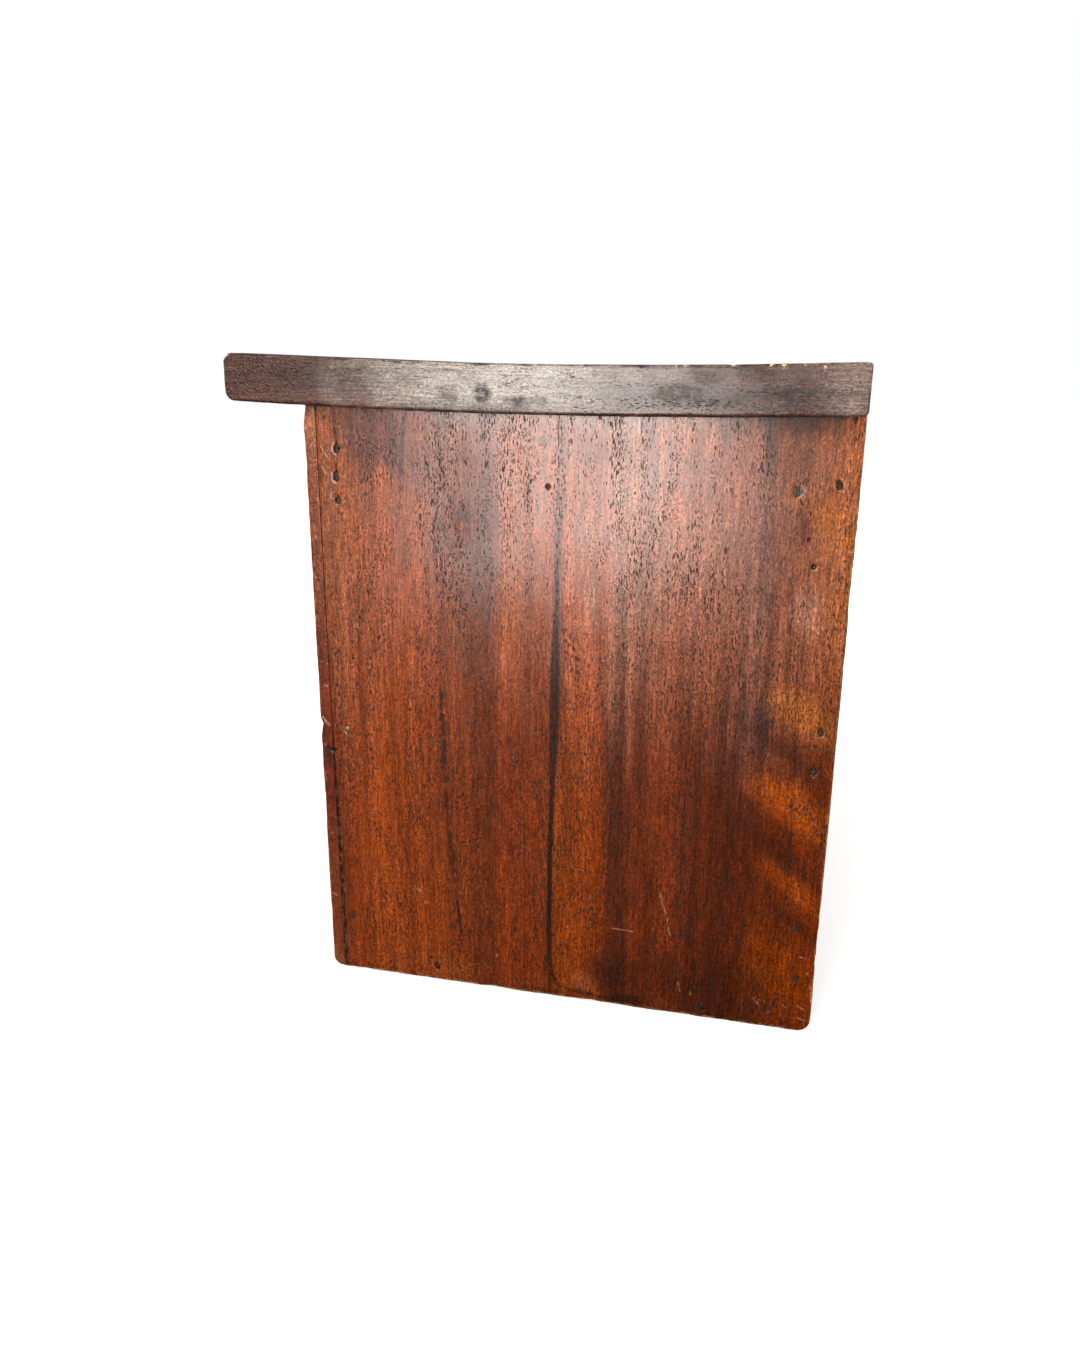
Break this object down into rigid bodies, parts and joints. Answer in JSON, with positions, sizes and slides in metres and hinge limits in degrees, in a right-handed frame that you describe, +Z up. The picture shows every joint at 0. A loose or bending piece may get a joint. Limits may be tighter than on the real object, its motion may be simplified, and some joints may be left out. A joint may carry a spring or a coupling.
{
  "type": "storage chest",
  "caption": "Small plank-built wooden storage chest: nailed end, front, back and bottom boards, tray ledgers inside, and a cupped lid on brass butt hinges that overhangs the front.",
  "frame": {"origin": "middle of the closed chest's length and depth, hinge barrels and lid overhang included, at the level it stands on", "axes": "+Z up, X along the chest's length, front towards -Y; the pictured end faces +X"},
  "size_m": [0.496, 0.3486, 0.3799],
  "materials": {
    "panel_wood": "worn shellac",
    "board_wood": "worn shellac",
    "lid_wood": "worn shellac, darkened",
    "cleat_wood": "worn shellac, darkened",
    "inner_wood": "bare wood",
    "nail_iron": "old iron",
    "hinge_brass": "tarnished"
  },
  "bodies": {
    "carcass": {"end_panel_right": "panel_wood", "end_panel_left": "panel_wood", "front_board": "board_wood", "back_board": "board_wood", "bottom_board": "board_wood", "tray_ledger_right": "inner_wood", "tray_ledger_left": "inner_wood", "hinge_right_lower_leaf": "hinge_brass", "hinge_right_pin": "hinge_brass", "hinge_left_lower_leaf": "hinge_brass", "hinge_left_pin": "hinge_brass", "screw_right_lower_1": "hinge_brass", "screw_right_lower_2": "hinge_brass", "screw_right_lower_3": "hinge_brass", "screw_left_lower_1": "hinge_brass", "screw_left_lower_2": "hinge_brass", "screw_left_lower_3": "hinge_brass", "nail_right_front_1": "nail_iron", "nail_right_front_2": "nail_iron", "nail_right_front_3": "nail_iron", "nail_right_front_4": "nail_iron", "nail_right_front_5": "nail_iron", "nail_right_back_1": "nail_iron", "nail_right_back_2": "nail_iron", "nail_right_back_3": "nail_iron", "nail_right_back_4": "nail_iron", "nail_right_back_5": "nail_iron", "nail_right_bottom_1": "nail_iron", "nail_right_bottom_2": "nail_iron", "nail_right_bottom_3": "nail_iron", "nail_right_ledger_1": "nail_iron", "nail_right_ledger_2": "nail_iron", "nail_left_front_1": "nail_iron", "nail_left_front_2": "nail_iron", "nail_left_front_3": "nail_iron", "nail_left_front_4": "nail_iron", "nail_left_front_5": "nail_iron", "nail_left_back_1": "nail_iron", "nail_left_back_2": "nail_iron", "nail_left_back_3": "nail_iron", "nail_left_back_4": "nail_iron", "nail_left_back_5": "nail_iron", "nail_left_bottom_1": "nail_iron", "nail_left_bottom_2": "nail_iron", "nail_left_bottom_3": "nail_iron", "nail_left_ledger_1": "nail_iron", "nail_left_ledger_2": "nail_iron"},
    "lid": {"lid_board": "lid_wood", "lid_cleat_right": "cleat_wood", "lid_cleat_left": "cleat_wood", "hinge_right_upper_leaf": "hinge_brass", "hinge_left_upper_leaf": "hinge_brass", "screw_right_upper_1": "hinge_brass", "screw_right_upper_2": "hinge_brass", "screw_right_upper_3": "hinge_brass", "screw_left_upper_1": "hinge_brass", "screw_left_upper_2": "hinge_brass", "screw_left_upper_3": "hinge_brass"}
  },
  "joints": [
    {"name": "lid_hinge", "type": "hinge", "parent": "carcass", "child": "lid", "pos_m": [0, 0.17125, 0.35508], "axis": [-1, 0, 0], "range_deg": [0, 195]}
  ]
}
